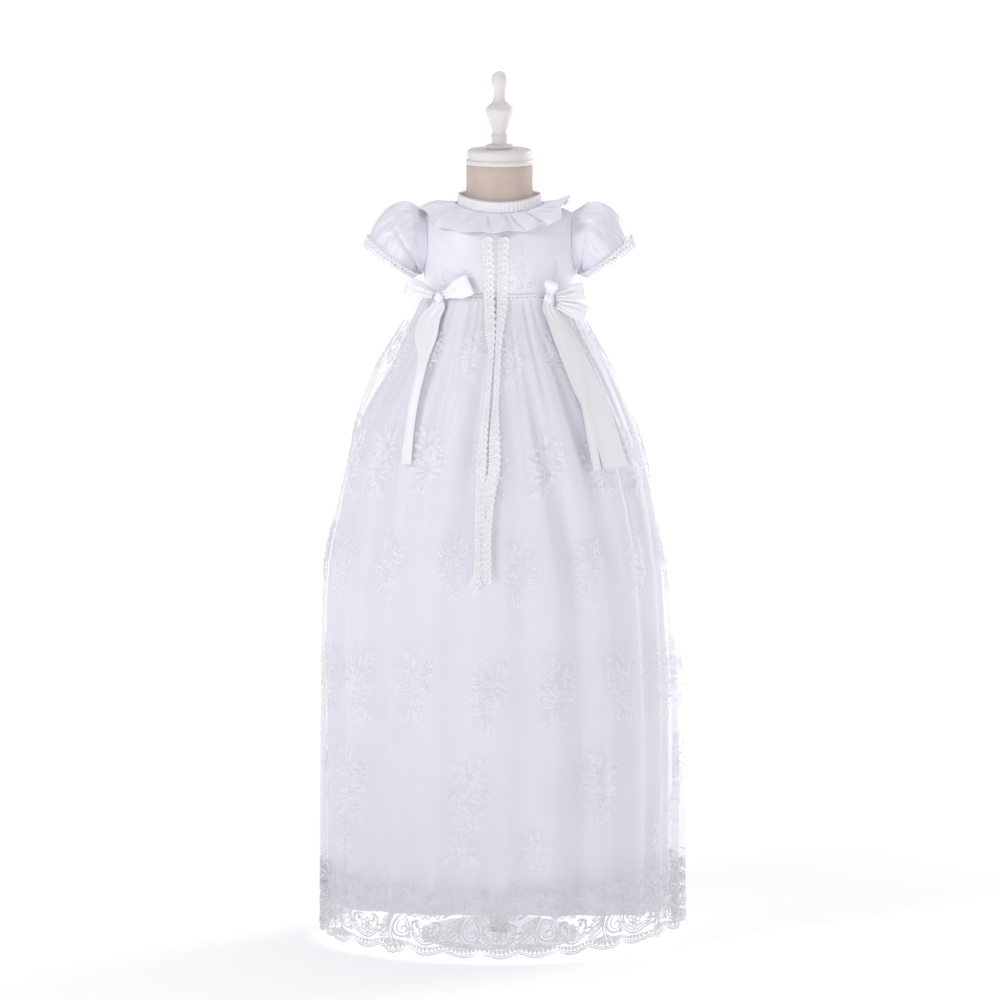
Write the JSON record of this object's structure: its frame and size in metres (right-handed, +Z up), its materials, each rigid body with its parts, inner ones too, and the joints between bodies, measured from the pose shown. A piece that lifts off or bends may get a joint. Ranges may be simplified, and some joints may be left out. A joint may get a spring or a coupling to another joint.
{
  "type": "christening gown on a child's dress form",
  "caption": "Long satin christening gown with puff sleeves, ruffled collar, waist bows and a lace-edged net overskirt, worn by a limbless child's dress form on a pole stand.",
  "frame": {"origin": "on the floor, at the centre of the base's underside, under the pole", "axes": "+Z up; -Y the front of the gown; +X the viewer's right when looking at the front"},
  "size_m": [0.423, 0.3428, 1.0043],
  "materials": {
    "satin": "white satin, soft sheen",
    "net": "fine white net, see-through, with embroidered sprays and lace",
    "ribbon": "white satin ribbon, glossy",
    "braid": "white cotton braid, matt",
    "button": "pearl white",
    "form_cloth": "beige jersey cover",
    "painted_wood": "white paint, satin",
    "painted_metal": "white paint, satin"
  },
  "bodies": {
    "root": {"bodice_front": "satin", "bodice_back_left": "satin", "bodice_back_right": "satin", "back_placket": "satin", "collar_ruffle": "satin", "sleeve_left": "satin", "sleeve_right": "satin", "lining_front": "satin", "lining_back": "satin", "overlay_front": "net", "overlay_back": "net", "border_front": "net", "border_back": "net", "bow_left_knot": "ribbon", "bow_left_loop_out": "ribbon", "bow_left_loop_in": "ribbon", "bow_left_tail": "ribbon", "bow_right_knot": "ribbon", "bow_right_loop_up": "ribbon", "bow_right_loop_side": "ribbon", "bow_right_loop_low": "ribbon", "bow_right_tail_front": "ribbon", "bow_right_tail_side": "ribbon", "neckband": "braid", "cuff_braid_left": "braid", "cuff_braid_right": "braid", "front_braid_left": "braid", "front_braid_right": "braid", "back_button_1": "button", "back_button_2": "button", "back_button_3": "button", "back_button_4": "button", "form_body": "form_cloth", "neck_cap": "painted_wood", "finial": "painted_wood", "pole": "painted_metal", "base": "painted_metal"}
  },
  "joints": []
}
